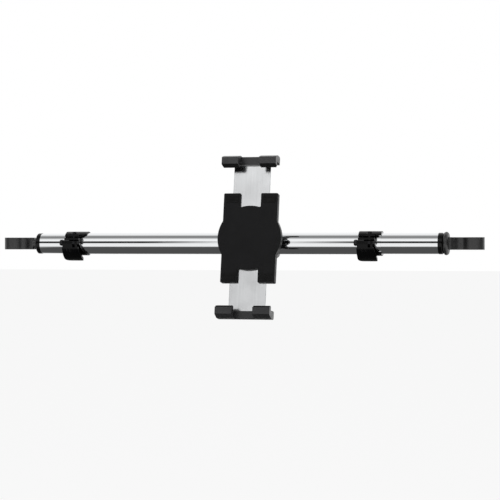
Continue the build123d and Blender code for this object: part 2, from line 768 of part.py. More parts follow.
with BuildPart() as pinion:
    with BuildSketch(holder_plane.offset(lower_arm_back)):
        with BuildLine():
            outline = []
            for tooth in range(pinion_teeth):
                outline += tooth_points(2 * pi * tooth / pinion_teeth)
            Polyline(*outline, close=True)
        make_face()
        Circle(pinion_hub_radius + running_gap, mode=Mode.SUBTRACT)
    extrude(amount=upper_arm_back + arm_thickness - lower_arm_back)
save(pinion.part, "pinion")

# Arms: bright steel strips with a slot, a rack on one side of the slot and a tab for the spring
jaw_seat = tablet_height / 2
arm_end = jaw_seat + jaw_bar_height - jaw_back_round
jaw_screw_places = [(side * jaw_screw_pitch / 2, jaw_seat + jaw_screw_rise) for side in (-1, 1)]
slot_top = jaw_travel_in + tip_radius + slot_clearance
slot_bottom = -jaw_travel_out - tip_radius - slot_clearance
arm_bottom = slot_bottom - arm_tail
rack_root = pitch_radius + gear_dedendum * gear_module
rack_tip = pitch_radius - gear_module
slot_left = -tip_radius - slot_clearance
rack_half_tip = tooth_pitch / 4 - gear_module * flank_slope - tooth_backlash
rack_half_root = tooth_pitch / 4 + gear_dedendum * gear_module * flank_slope - tooth_backlash
first_tooth = int((slot_bottom + tooth_pitch) / tooth_pitch)
last_tooth = int((slot_top - tooth_pitch) / tooth_pitch)
rack_places = [(n + 0.5) * tooth_pitch for n in range(first_tooth, last_tooth)]


def arm(plane, back):
    """One arm on its layer. The lower arm is the same piece, turned half round."""
    with BuildPart() as strip:
        with BuildSketch(plane.offset(back)) as outline:
            with Locations((0, (arm_bottom + arm_end) / 2)):
                Rectangle(arm_width, arm_end - arm_bottom)
            fillet(outline.vertices(), arm_corner_round)
            with Locations((arm_width / 2, tab_station + tab_width / 2)):
                Rectangle(2 * tab_reach, tab_width)
            with Locations(((slot_left + rack_root) / 2, (slot_bottom + slot_top) / 2)):
                Rectangle(rack_root - slot_left, slot_top - slot_bottom, mode=Mode.SUBTRACT)
            for place in rack_places:
                Polygon(
                    (rack_root, place - rack_half_root),
                    (rack_tip, place - rack_half_tip),
                    (rack_tip, place + rack_half_tip),
                    (rack_root, place + rack_half_root),
                    align=None,
                )
            with Locations(*jaw_screw_places):
                Circle(jaw_screw_diameter / 2 + seat_gap, mode=Mode.SUBTRACT)
        extrude(amount=arm_thickness)
    return strip.part


def spring(plane):
    """Close-wound tension spring between an arm's tab and the peg in the rear cover, as its outer tube."""
    first = spring_post_diameter / 2 + seat_gap - spring_post_station
    middle = (rear_floor + cover_roof) / 2
    foot = plane.from_local_coords((spring_place, first, middle))
    with BuildPart() as coil:
        with BuildSketch(Plane(origin=foot, x_dir=plane.x_dir, z_dir=plane.y_dir)):
            Circle(spring_diameter / 2)
            Circle(spring_diameter / 2 - spring_wire, mode=Mode.SUBTRACT)
        extrude(amount=tab_station - seat_gap - first)
    return coil.part


# Jaws: a bar across the arm's end and two fingers with lips, lined with rubber
jaw_width = holder_width
bar_face = tablet_back - jaw_bar_recess
lip_pad_face = tablet_back + tablet_room
lip_back = lip_pad_face + jaw_pad_thickness
jaw_front = lip_back + lip_thickness
seat_back = jaw_seat + jaw_pad_thickness
jaw_top = jaw_seat + jaw_bar_height
lip_edge = jaw_seat - lip_overlap
lip_pad_front = jaw_front - jaw_pad_margin
lip_pad_rise = lip_slope * (lip_pad_front - lip_back) / lip_thickness
finger_length = jaw_bar_height + lip_overlap + lip_pad_thickness + seat_gap
finger_middle = jaw_top - finger_length / 2


def jaw(plane, arm_back):
    """Jaw on the end of an arm, drawn for the upper one. The plane turns it round for the lower one."""
    profile_plane = Plane(origin=plane.origin, x_dir=plane.z_dir, z_dir=-plane.x_dir)
    back = arm_back + arm_thickness + seat_gap
    with BuildPart() as fingers:
        with BuildSketch(profile_plane) as profile:
            with BuildLine():
                Polyline(
                    (back, jaw_seat),
                    (bar_face, jaw_seat),
                    (bar_face, seat_back),
                    (lip_back, seat_back),
                    (lip_back, lip_edge),
                    (jaw_front, lip_edge + lip_slope),
                    (jaw_front, lip_edge + lip_slope + jaw_front_height),
                    (jaw_front - jaw_slope_depth, jaw_top),
                    (back, jaw_top),
                    close=True,
                )
            make_face()
            fillet(profile.vertices().sort_by_distance((back, jaw_top))[0], jaw_back_round)
            ridge = (jaw_front - jaw_slope_depth, jaw_top)
            fillet(profile.vertices().sort_by_distance(ridge)[0], jaw_ridge_round)
        extrude(amount=jaw_width / 2, both=True)
        with BuildSketch(plane.offset(bar_face)):
            with Locations((0, finger_middle)):
                Rectangle(prong_gap, finger_length)
        extrude(amount=jaw_front - bar_face, mode=Mode.SUBTRACT)
        for finger_face in fingers.faces().group_by(Axis((0, 0, 0), face_normal))[-1]:
            fillet(finger_face.edges(), jaw_edge_round)
        with BuildSketch(plane.offset(back)):
            with Locations(*jaw_screw_places):
                Circle(jaw_screw_diameter / 2 + seat_gap)
        extrude(amount=jaw_screw_depth, mode=Mode.SUBTRACT)
    return fingers.part


def jaw_pads(plane):
    """Two rubber pads, on the seat, behind the lip and under the lip of each finger."""
    profile_plane = Plane(origin=plane.origin, x_dir=plane.z_dir, z_dir=-plane.x_dir)
    with BuildPart() as pads:
        with BuildSketch(profile_plane):
            with BuildLine():
                Polyline(
                    (bar_face + seat_gap, jaw_seat),
                    (lip_pad_face, jaw_seat),
                    (lip_pad_face, lip_edge - lip_pad_thickness - seat_gap),
                    (lip_pad_front, lip_edge + lip_pad_rise - lip_pad_thickness - seat_gap),
                    (lip_pad_front, lip_edge + lip_pad_rise - seat_gap),
                    (lip_back - seat_gap, lip_edge - seat_gap),
                    (lip_back - seat_gap, seat_back - seat_gap),
                    (bar_face + seat_gap, seat_back - seat_gap),
                    close=True,
                )
            make_face()
        extrude(amount=jaw_width / 2 - jaw_pad_margin, both=True)
        with BuildSketch(plane.offset(bar_face)):
            with Locations((0, finger_middle)):
                Rectangle(prong_gap + 2 * jaw_pad_margin, finger_length)
        extrude(amount=jaw_front - bar_face, mode=Mode.SUBTRACT)
    return pads.part


def jaw_screws(plane, arm_back):
    """Two screws from behind, through the arm into the jaw."""
    with BuildPart() as screws:
        with BuildSketch(plane.offset(arm_back)):
            with Locations(*jaw_screw_places):
                Circle(jaw_screw_diameter / 2)
        extrude(amount=arm_thickness + jaw_screw_depth)
        with BuildSketch(plane.offset(arm_back)):
            with Locations(*jaw_screw_places):
                Circle(jaw_screw_head_diameter / 2)
        extrude(amount=-jaw_screw_head_height)
    return screws.part


for end, plane, arm_back in (
    ("upper", holder_plane, upper_arm_back),
    ("lower", turned_plane, lower_arm_back),
):
    save(arm(plane, arm_back), f"{end}_arm")
    save(spring(plane), f"{end}_spring")
    save(jaw(plane, arm_back), f"{end}_jaw")
    save(jaw_pads(plane), f"{end}_jaw_pads")
    save(jaw_screws(plane, arm_back), f"{end}_jaw_screws")
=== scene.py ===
import math
import bmesh
import bpy
from mathutils import Matrix, Vector


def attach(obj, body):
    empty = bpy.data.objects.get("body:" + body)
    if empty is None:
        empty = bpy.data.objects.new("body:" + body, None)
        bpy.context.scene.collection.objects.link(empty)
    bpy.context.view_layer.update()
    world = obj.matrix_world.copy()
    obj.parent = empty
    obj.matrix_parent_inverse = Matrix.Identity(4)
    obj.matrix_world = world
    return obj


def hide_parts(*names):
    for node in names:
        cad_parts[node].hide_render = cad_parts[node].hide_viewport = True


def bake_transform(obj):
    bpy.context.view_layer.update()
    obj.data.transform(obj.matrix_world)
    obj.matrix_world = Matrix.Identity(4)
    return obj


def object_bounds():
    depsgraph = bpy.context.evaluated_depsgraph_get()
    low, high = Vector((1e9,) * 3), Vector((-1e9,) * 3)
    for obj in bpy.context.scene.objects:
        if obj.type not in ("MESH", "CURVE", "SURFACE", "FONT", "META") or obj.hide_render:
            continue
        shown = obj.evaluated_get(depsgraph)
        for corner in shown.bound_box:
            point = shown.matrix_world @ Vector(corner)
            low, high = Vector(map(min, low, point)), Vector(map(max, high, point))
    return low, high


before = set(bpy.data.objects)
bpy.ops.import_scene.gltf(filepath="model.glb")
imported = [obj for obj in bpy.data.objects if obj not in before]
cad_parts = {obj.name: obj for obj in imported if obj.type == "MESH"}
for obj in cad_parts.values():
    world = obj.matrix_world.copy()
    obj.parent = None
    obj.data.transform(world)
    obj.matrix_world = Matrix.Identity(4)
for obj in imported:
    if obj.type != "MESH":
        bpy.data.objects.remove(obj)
cad_low, cad_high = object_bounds()


# Hooks. Each is one moulding in black glass-filled nylon: an open band, a neck, and a boss on the left
# or a round flange on the right, which turns on the end of the pole. The mould leaves a fine grain, and
# the corners are lighter, partly as wear and partly as a painted highlight.
def shader_group(name, inputs, outputs):
    """Empty shader node group with named sockets, its input node and its output node."""
    tree = bpy.data.node_groups.new(name, "ShaderNodeTree")
    for socket, kind, value in inputs:
        made = tree.interface.new_socket(name=socket, in_out="INPUT", socket_type=kind)
        made.default_value = value
    for socket, kind in outputs:
        tree.interface.new_socket(name=socket, in_out="OUTPUT", socket_type=kind)
    return tree, tree.nodes.new("NodeGroupInput"), tree.nodes.new("NodeGroupOutput")


def math_node(tree, operation, first, second):
    """Math node with two inputs, each a socket or a number."""
    node = tree.nodes.new("ShaderNodeMath")
    node.operation = operation
    for place, value in enumerate((first, second)):
        if isinstance(value, bpy.types.NodeSocket):
            tree.links.new(value, node.inputs[place])
        else:
            node.inputs[place].default_value = value
    return node.outputs[0]


def noise_node(tree, vector, scale, detail):
    """Noise texture on a vector, with a scale that is a socket or a number."""
    node = tree.nodes.new("ShaderNodeTexNoise")
    tree.links.new(vector, node.inputs["Vector"])
    if isinstance(scale, bpy.types.NodeSocket):
        tree.links.new(scale, node.inputs["Scale"])
    else:
        node.inputs["Scale"].default_value = scale
    node.inputs["Detail"].default_value = detail
    return node.outputs["Fac"]


def range_node(tree, value, low, high, out_low, out_high):
    """Map Range node from low..high to out_low..out_high."""
    node = tree.nodes.new("ShaderNodeMapRange")
    tree.links.new(value, node.inputs["Value"])
    node.inputs["From Min"].default_value = low
    node.inputs["From Max"].default_value = high
    node.inputs["To Min"].default_value = out_low
    node.inputs["To Max"].default_value = out_high
    return node.outputs["Result"]


mould_grain, grain_in, grain_out = shader_group(
    "mould_grain",
    [("Vector", "NodeSocketVector", (0, 0, 0)), ("Scale", "NodeSocketFloat", 2600.0)],
    [("Height", "NodeSocketFloat"), ("Tone", "NodeSocketFloat"), ("Haze", "NodeSocketFloat")],
)
pits = mould_grain.nodes.new("ShaderNodeTexVoronoi")
mould_grain.links.new(grain_in.outputs["Vector"], pits.inputs["Vector"])
mould_grain.links.new(grain_in.outputs["Scale"], pits.inputs["Scale"])
swell_share = 0.35
swell_scale = math_node(mould_grain, "MULTIPLY", grain_in.outputs["Scale"], swell_share)
swell = noise_node(mould_grain, grain_in.outputs["Vector"], scale=swell_scale, detail=3.0)
grain_sum = math_node(mould_grain, "ADD", pits.outputs["Distance"], swell)
mould_grain.links.new(grain_sum, grain_out.inputs["Height"])
flow = noise_node(mould_grain, grain_in.outputs["Vector"], scale=55.0, detail=4.0)
cloud_tone = range_node(mould_grain, flow, low=0.3, high=0.7, out_low=0.86, out_high=1.14)
mould_grain.links.new(cloud_tone, grain_out.inputs["Tone"])
smears = noise_node(mould_grain, grain_in.outputs["Vector"], scale=130.0, detail=5.0)
smear_haze = range_node(mould_grain, smears, low=0.35, high=0.7, out_low=-0.05, out_high=0.07)
mould_grain.links.new(smear_haze, grain_out.inputs["Haze"])

# Edge mask: a rounded normal, and patchy lines along the edges. On the plastics these lines carry wear and a
# painted highlight, and on the steel arms a painted shade line.
edge_wear_and_painted_light, edge_in, edge_out = shader_group(
    "edge_wear_and_painted_light",
    [("Vector", "NodeSocketVector", (0, 0, 0)), ("Radius", "NodeSocketFloat", 0.0005)],
    [("Normal", "NodeSocketVector"), ("Wear_and_light", "NodeSocketFloat")],
)
round_off = edge_wear_and_painted_light.nodes.new("ShaderNodeBevel")
round_off.samples = 6
edge_wear_and_painted_light.links.new(edge_in.outputs["Radius"], round_off.inputs["Radius"])
edge_wear_and_painted_light.links.new(round_off.outputs["Normal"], edge_out.inputs["Normal"])
face_way = edge_wear_and_painted_light.nodes.new("ShaderNodeNewGeometry")
bend = edge_wear_and_painted_light.nodes.new("ShaderNodeVectorMath")
bend.operation = "DOT_PRODUCT"
edge_wear_and_painted_light.links.new(round_off.outputs["Normal"], bend.inputs[0])
edge_wear_and_painted_light.links.new(face_way.outputs["Normal"], bend.inputs[1])
edge_line = range_node(edge_wear_and_painted_light, bend.outputs["Value"], low=0.995, high=0.9, out_low=0.0, out_high=1.0)
wear_and_light_spots = noise_node(edge_wear_and_painted_light, edge_in.outputs["Vector"], scale=210.0, detail=3.0)
wear_and_light_patches = range_node(edge_wear_and_painted_light, wear_and_light_spots, low=0.4, high=0.62, out_low=0.25, out_high=1.0)
edge_wear_and_painted_light.links.new(math_node(edge_wear_and_painted_light, "MULTIPLY", edge_line, wear_and_light_patches), edge_out.inputs["Wear_and_light"])


def new_material(name):
    """Empty node material with a Principled shader, and Object coordinates."""
    material = bpy.data.materials.new(name)
    material.use_nodes = True
    tree = material.node_tree
    shader = tree.nodes["Principled BSDF"]
    place = tree.nodes.new("ShaderNodeTexCoord").outputs["Object"]
    return material, tree, shader, place


def group_node(tree, group, **values):
    """Placed node group. Values are numbers or sockets, by socket name."""
    node = tree.nodes.new("ShaderNodeGroup")
    node.node_tree = group
    for socket, value in values.items():
        if isinstance(value, bpy.types.NodeSocket):
            tree.links.new(value, node.inputs[socket])
        else:
            node.inputs[socket].default_value = value
    return node


def mix_colours(tree, share, first, second, blend="MIX"):
    """Colour mix. Each colour is a socket or an RGB triple."""
    node = tree.nodes.new("ShaderNodeMix")
    node.data_type = "RGBA"
    node.blend_type = blend
    for socket, value in (("Factor_Float", share), ("A_Color", first), ("B_Color", second)):
        target = next(i for i in node.inputs if i.identifier == socket)
        if isinstance(value, bpy.types.NodeSocket):
            tree.links.new(value, target)
        elif isinstance(value, (int, float)):
            target.default_value = value
        else:
            target.default_value = (*value, 1.0)
    return next(o for o in node.outputs if o.identifier == "Result_Color")


def moulded_plastic(
    name, colour, worn_and_highlight_colour, roughness, gloss, grain_scale=2600.0, grain_depth=0.00002, edge=0.0005
):
    """Moulded plastic: grain in the surface, cloudy tone, and corners lighter and smoother, partly as wear
    and partly as a painted highlight.
    """
    rub_polish = 0.12
    material, tree, shader, place = new_material(name)
    shader.inputs["Specular IOR Level"].default_value = gloss
    grain = group_node(tree, mould_grain, Vector=place, Scale=grain_scale)
    edges = group_node(tree, edge_wear_and_painted_light, Vector=place, Radius=edge)
    cloudy = mix_colours(tree, 1.0, colour, grain.outputs["Tone"], "MULTIPLY")
    worn_and_highlit = mix_colours(tree, edges.outputs["Wear_and_light"], cloudy, worn_and_highlight_colour)
    tree.links.new(worn_and_highlit, shader.inputs["Base Color"])
    matt = math_node(tree, "ADD", grain.outputs["Haze"], roughness)
    polish = math_node(tree, "MULTIPLY", edges.outputs["Wear_and_light"], rub_polish)
    tree.links.new(math_node(tree, "SUBTRACT", matt, polish), shader.inputs["Roughness"])
    bump = tree.nodes.new("ShaderNodeBump")
    bump.inputs["Distance"].default_value = grain_depth
    bump.inputs["Strength"].default_value = 0.6
    tree.links.new(grain.outputs["Height"], bump.inputs["Height"])
    tree.links.new(edges.outputs["Normal"], bump.inputs["Normal"])
    tree.links.new(bump.outputs["Normal"], shader.inputs["Normal"])
    return material


def dress(material, *nodes):
    """Gives CAD nodes a material."""
    for node in nodes:
        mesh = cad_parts[node].data
        mesh.materials.clear()
        mesh.materials.append(material)


hook_plastic = moulded_plastic(
    "hook_plastic", colour=(0.005, 0.005, 0.0053), worn_and_highlight_colour=(0.04, 0.04, 0.041),
    roughness=0.4, gloss=1.0, grain_depth=0.00001,
)
dress(hook_plastic, "left_hook", "right_hook")


# Hook liners. A strip of soft black rubber is glued into each hook so that it grips without a scratch.
# Rubber is dull, with a fine tooth and a trace of pale bloom.
def soft_rubber(name, colour, bloom_colour, tooth_scale=1500.0):
    """Matt rubber with a fine tooth and a cloudy pale bloom."""
    dull = 0.82
    material, tree, shader, place = new_material(name)
    grain = group_node(tree, mould_grain, Vector=place, Scale=tooth_scale)
    clouds = noise_node(tree, place, scale=90.0, detail=5.0)
    bloom = range_node(tree, clouds, low=0.5, high=0.8, out_low=0.0, out_high=0.5)
    tree.links.new(mix_colours(tree, bloom, colour, bloom_colour), shader.inputs["Base Color"])
    tree.links.new(math_node(tree, "ADD", grain.outputs["Haze"], dull), shader.inputs["Roughness"])
    shader.inputs["Specular IOR Level"].default_value = 0.2
    bump = tree.nodes.new("ShaderNodeBump")
    bump.inputs["Distance"].default_value = 0.00004
    tree.links.new(grain.outputs["Height"], bump.inputs["Height"])
    tree.links.new(bump.outputs["Normal"], shader.inputs["Normal"])
    return material


liner_rubber = soft_rubber("liner_rubber", colour=(0.003, 0.003, 0.003), bloom_colour=(0.007, 0.0069, 0.0067))
dress(liner_rubber, "left_hook_liner", "right_hook_liner")


# Hook bolts. Zinc-plated steel bolts on which the hooks turn, with their heads inside the end plugs.
# The plating is bright but not polished, with a grey cloud in it.
def plated_steel(name, colour, roughness):
    """Zinc-plated steel with a cloudy grey in colour and gloss."""
    material, tree, shader, place = new_material(name)
    matt_spots, bright_spots = roughness + 0.1, roughness - 0.06
    cloud = noise_node(tree, place, scale=420.0, detail=4.0)
    tone = range_node(tree, cloud, low=0.3, high=0.7, out_low=0.8, out_high=1.1)
    tree.links.new(mix_colours(tree, 1.0, colour, tone, "MULTIPLY"), shader.inputs["Base Color"])
    gloss = range_node(tree, cloud, low=0.3, high=0.7, out_low=matt_spots, out_high=bright_spots)
    tree.links.new(gloss, shader.inputs["Roughness"])
    shader.inputs["Metallic"].default_value = 1.0
    edges = group_node(tree, edge_wear_and_painted_light, Vector=place, Radius=0.0002)
    tree.links.new(edges.outputs["Normal"], shader.inputs["Normal"])
    return material


bolt_zinc = plated_steel("bolt_zinc", colour=(0.56, 0.57, 0.58), roughness=0.34)
dress(bolt_zinc, "left_swivel_bolt", "right_swivel_bolt")


# End plugs. Turned plugs of gloss black plastic, pressed into the tube ends. Their rim shows as a shiny ring
# beside the hook.
plug_gloss = moulded_plastic(
    "plug_gloss", colour=(0.003, 0.003, 0.003), worn_and_highlight_colour=(0.02, 0.02, 0.021),
    roughness=0.12, gloss=0.2, grain_scale=900.0, grain_depth=0.000004, edge=0.0003,
)
dress(plug_gloss, "left_end_plug", "right_end_plug")


# Telescopic tubes. Three lengths of drawn steel tube, chromed and polished. The end tubes slide in the centre
# tube, and drawing has left very fine lines along them, with a few handling marks.
drawn_lines, lines_in, lines_out = shader_group(
    "drawn_lines",
    [("Vector", "NodeSocketVector", (0, 0, 0)), ("Across", "NodeSocketFloat", 2400.0)],
    [("Height", "NodeSocketFloat"), ("Gloss", "NodeSocketFloat"), ("Tone", "NodeSocketFloat")],
)
long_way = drawn_lines.nodes.new("ShaderNodeMapping")
long_way.inputs["Scale"].default_value = (0.004, 1.0, 1.0)
drawn_lines.links.new(lines_in.outputs["Vector"], long_way.inputs["Vector"])
fine_lines = noise_node(drawn_lines, long_way.outputs["Vector"], scale=lines_in.outputs["Across"], detail=4.0)
drawn_lines.links.new(fine_lines, lines_out.inputs["Height"])
handling = noise_node(drawn_lines, lines_in.outputs["Vector"], scale=38.0, detail=6.0)
hand_marks = range_node(drawn_lines, handling, low=0.42, high=0.75, out_low=0.0, out_high=0.07)
drawn_lines.links.new(hand_marks, lines_out.inputs["Gloss"])
line_tone = range_node(drawn_lines, fine_lines, low=0.3, high=0.7, out_low=0.95, out_high=1.05)
drawn_lines.links.new(line_tone, lines_out.inputs["Tone"])


def drawn_steel(name, colour, cut_and_shade_colour, dark_edge_width, roughness, across, depth, turn):
    """Bright steel with darker cut edges, partly a painted shade line, and lines along X, or along the
    direction that a turn gives.
    """
    material, tree, shader, place = new_material(name)
    turned = tree.nodes.new("ShaderNodeMapping")
    turned.inputs["Rotation"].default_value = turn
    tree.links.new(place, turned.inputs["Vector"])
    lines = group_node(tree, drawn_lines, Vector=turned.outputs["Vector"], Across=across)
    edges = group_node(tree, edge_wear_and_painted_light, Vector=place, Radius=dark_edge_width)
    bright = mix_colours(tree, 1.0, colour, lines.outputs["Tone"], "MULTIPLY")
    tree.links.new(mix_colours(tree, edges.outputs["Wear_and_light"], bright, cut_and_shade_colour), shader.inputs["Base Color"])
    tree.links.new(math_node(tree, "ADD", lines.outputs["Gloss"], roughness), shader.inputs["Roughness"])
    shader.inputs["Metallic"].default_value = 1.0
    bump = tree.nodes.new("ShaderNodeBump")
    bump.inputs["Distance"].default_value = depth
    bump.inputs["Strength"].default_value = 0.5
    tree.links.new(lines.outputs["Height"], bump.inputs["Height"])
    tree.links.new(bump.outputs["Normal"], shader.inputs["Normal"])
    return material


tube_chrome = drawn_steel(
    "tube_chrome", colour=(0.87, 0.88, 0.89), cut_and_shade_colour=(0.35, 0.35, 0.36), dark_edge_width=0.0002,
    roughness=0.04, across=2400.0, depth=0.000002, turn=(0, 0, 0),
)
dress(tube_chrome, "left_tube", "center_tube", "right_tube")


# Guide bushes. Small black acetal bushes on the hidden ends of the end tubes keep them in line.
# Plain turned plastic with a smooth, slightly waxy face.
bush_acetal = moulded_plastic(
    "bush_acetal", colour=(0.010, 0.010, 0.011), worn_and_highlight_colour=(0.03, 0.03, 0.031),
    roughness=0.28, gloss=0.35, grain_scale=1800.0, grain_depth=0.000008, edge=0.0003,
)
dress(bush_acetal, "left_guide_bush", "right_guide_bush")


# Flip clamps. A split nylon collar grips each end of the centre tube, and a lever on a steel pin pulls its
# tension bolt tight. The collar is satin black, and the lever is smoother from many thumbs.
# The lighter corners of collar and lever are partly wear and partly a painted highlight along their edges.
collar_plastic = moulded_plastic(
    "collar_plastic", colour=(0.002, 0.002, 0.0022), worn_and_highlight_colour=(0.025, 0.025, 0.026),
    roughness=0.16, gloss=0.15, grain_depth=0.00001,
)
dress(collar_plastic, "left_clamp_collar", "right_clamp_collar")
lever_plastic = moulded_plastic(
    "lever_plastic", colour=(0.002, 0.002, 0.0022), worn_and_highlight_colour=(0.025, 0.025, 0.026),
    roughness=0.14, gloss=0.15, grain_scale=3000.0, grain_depth=0.000008,
)
dress(lever_plastic, "left_clamp_lever", "right_clamp_lever")
pin_black = moulded_plastic(
    "pin_black", colour=(0.004, 0.004, 0.0045), worn_and_highlight_colour=(0.05, 0.05, 0.052),
    roughness=0.2, gloss=0.4, grain_scale=3200.0, grain_depth=0.000006, edge=0.0003,
)
dress(pin_black, "left_clamp_pin", "right_clamp_pin")
bolt_black = plated_steel("bolt_black", colour=(0.035, 0.035, 0.037), roughness=0.34)
dress(bolt_black, "left_clamp_bolt", "right_clamp_bolt")


# Pole bush. A flanged bush of black acetal slides along the centre tube, and the carriage turns on it.
# Its end rim shows beside the hub.
dress(bush_acetal, "pole_bush")


# Carriage. Two nylon shells close round the bush and hold it by friction, so the holder can be tilted.
# The front shell carries the round boss of the turntable.
carriage_plastic = moulded_plastic(
    "carriage_plastic", colour=(0.012, 0.012, 0.013), worn_and_highlight_colour=(0.04, 0.04, 0.042),
    roughness=0.42, gloss=0.3,
)
dress(carriage_plastic, "carriage_front", "carriage_rear")


# Carriage screws. Four zinc-plated pan-head screws with a cross recess pull the shells together from behind.
# Their heads are pressed and their threads, hidden in the shells, are left plain.
def cross_screw(mesh, place, head_radius, head_height, shank_radius, shank_length):
    """Adds a pan-head screw with a cross recess. The place's z axis points out of the head, from its seat."""
    rim_drop, arm_reach, arm_share, floor_taper, recess_share, tip_share = 0.35, 0.62, 1 / 6, 0.72, 0.55, 0.8
    before = set(mesh.verts)
    dome = bmesh.ops.create_grid(mesh, x_segments=12, y_segments=12, size=head_radius)["verts"]
    for vert in dome:
        reach = max(abs(vert.co.x), abs(vert.co.y))
        if reach > 0:
            vert.co.xy *= reach / vert.co.xy.length
        vert.co.z = head_height * (1 - rim_drop * (reach / head_radius) ** 2)
    top = list(dict.fromkeys(face for vert in dome for face in vert.link_faces))
    rim = [edge for edge in dict.fromkeys(e for face in top for e in face.edges) if edge.is_boundary]
    arms = []
    for face in top:
        middle = face.calc_center_median()
        across = sorted((abs(middle.x), abs(middle.y)))
        if across[1] < arm_reach * head_radius and across[0] < arm_share * head_radius:
            arms.append(face)
    sunk = bmesh.ops.extrude_face_region(mesh, geom=arms)
    floor = [item for item in sunk["geom"] if isinstance(item, bmesh.types.BMVert)]
    bmesh.ops.delete(mesh, geom=arms, context="FACES_ONLY")
    bmesh.ops.scale(mesh, vec=(floor_taper, floor_taper, 1), verts=floor)
    bmesh.ops.translate(mesh, vec=(0, 0, -recess_share * head_height), verts=floor)
    skirt = bmesh.ops.extrude_edge_only(mesh, edges=rim)["geom"]
    for vert in (item for item in skirt if isinstance(item, bmesh.types.BMVert)):
        vert.co.z = 0
    base = [item for item in skirt if isinstance(item, bmesh.types.BMEdge) and item.is_boundary]
    bmesh.ops.edgeloop_fill(mesh, edges=base)
    bmesh.ops.create_cone(
        mesh, cap_ends=True, segments=20, depth=shank_length,
        radius1=tip_share * shank_radius, radius2=shank_radius,
        matrix=Matrix.Translation((0, 0, -shank_length / 2)),
    )
    made = [vert for vert in mesh.verts if vert not in before]
    bmesh.ops.transform(mesh, matrix=place, verts=made)


def new_piece(name, mesh, material):
    """Finished object from a mesh: crisp above 35 degrees and smooth below."""
    bmesh.ops.recalc_face_normals(mesh, faces=mesh.faces)
    data = bpy.data.meshes.new(name)
    mesh.to_mesh(data)
    mesh.free()
    data.shade_smooth()
    data.set_sharp_from_angle(angle=math.radians(35))
    data.materials.append(material)
    piece = bpy.data.objects.new(name, data)
    bpy.context.scene.collection.objects.link(piece)
    return piece


# The holder's frame: x to the right, y up along the arms, z out of its face, from a point on the pole's axis.
lean = math.radians(10.5)
pole_point = Vector((0.3442, -0.0075, 0))
holder_up = Vector((0, math.sin(lean), math.cos(lean)))
holder_out = Vector((0, -math.cos(lean), math.sin(lean)))
holder_frame = Matrix((Vector((1, 0, 0)), holder_up, holder_out)).transposed().to_4x4()
holder_frame.translation = pole_point
facing_back = Matrix.Rotation(math.pi, 4, "X")

shell_x, shell_y, shell_seat = 0.016, 0.02436, -0.0062
screw_mesh = bmesh.new()
for side_x in (-shell_x, shell_x):
    for side_y in (-shell_y, shell_y):
        seat = Matrix.Translation((side_x, side_y, shell_seat))
        cross_screw(
            screw_mesh, holder_frame @ seat @ facing_back,
            head_radius=0.0036, head_height=0.0028, shank_radius=0.002, shank_length=0.0123,
        )
shell_screws = new_piece("shell_screws", screw_mesh, bolt_zinc)
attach(shell_screws, "carriage")
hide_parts("carriage_screws")
dress(bolt_zinc, "carriage_screws")


# Turntable. A low-friction washer lies between boss and holder, and a bolt with its nut sunk in the boss
# holds the two together.
washer_nylon = moulded_plastic(
    "washer_nylon", colour=(0.55, 0.53, 0.47), worn_and_highlight_colour=(0.62, 0.6, 0.55),
    roughness=0.5, gloss=0.5, grain_scale=1500.0, grain_depth=0.00001, edge=0.0002,
)
dress(washer_nylon, "friction_washer")
dress(bolt_zinc, "swivel_bolt", "swivel_nut")


# Holder covers. Two mouldings in black plastic, a round hub with four prongs, screwed together from behind
# with the arms, springs and pinion between them.
cover_plastic = moulded_plastic(
    "cover_plastic", colour=(0.006, 0.006, 0.0064), worn_and_highlight_colour=(0.03, 0.03, 0.031),
    roughness=0.38, gloss=0.15,
)
dress(cover_plastic, "holder_front", "holder_rear")

cover_x, cover_y, cover_seat = 0.0374, 0.010, 0.03395
screw_mesh = bmesh.new()
for side_x in (-cover_x, cover_x):
    for side_y in (-cover_y, cover_y):
        seat = Matrix.Translation((side_x, side_y, cover_seat))
        cross_screw(
            screw_mesh, holder_frame @ seat @ facing_back,
            head_radius=0.0027, head_height=0.0015, shank_radius=0.0015, shank_length=0.0064,
        )
cover_screws = new_piece("cover_screws", screw_mesh, bolt_zinc)
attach(cover_screws, "holder")
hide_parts("holder_screws")
dress(bolt_zinc, "holder_screws")


# Grip pads. Rubber pads in shallow recesses at the tips of the prongs keep the load from sliding.
# They are moulded in soft black rubber with five low ribs across, and glued in.
pad_x, pad_y = 0.02475, 0.0511
slab_size, slab_middle = (0.017, 0.010, 0.0011), 0.04225
rib_size, rib_middle = (0.0158, 0.0011, 0.0006), 0.0430
rib_count, rib_pitch, rib_round = 5, 0.0019, 0.0003
pad_mesh = bmesh.new()
for side_x in (-pad_x, pad_x):
    for side_y in (-pad_y, pad_y):
        pad_place = holder_frame @ Matrix.Translation((side_x, side_y, 0))
        slab = bmesh.ops.create_cube(pad_mesh, size=1, matrix=Matrix.Diagonal((*slab_size, 1)))["verts"]
        bmesh.ops.translate(pad_mesh, vec=(0, 0, slab_middle), verts=slab)
        bmesh.ops.transform(pad_mesh, matrix=pad_place, verts=slab)
        for rib in range(rib_count):
            rib_y = (rib - rib_count // 2) * rib_pitch
            bar = bmesh.ops.create_cube(pad_mesh, size=1, matrix=Matrix.Diagonal((*rib_size, 1)))["verts"]
            bmesh.ops.translate(pad_mesh, vec=(0, rib_y, rib_middle), verts=bar)
            bar_edges = dict.fromkeys(edge for vert in bar for edge in vert.link_edges)
            crests = [edge for edge in bar_edges if all(vert.co.z > rib_middle for vert in edge.verts)]
            rounded = bmesh.ops.bevel(
                pad_mesh, geom=crests, offset=rib_round, offset_type="OFFSET", segments=3, profile=0.5,
                affect="EDGES", material=-1,
            )["verts"]
            whole = list(dict.fromkeys([vert for vert in bar if vert.is_valid] + rounded))
            bmesh.ops.transform(pad_mesh, matrix=pad_place, verts=whole)
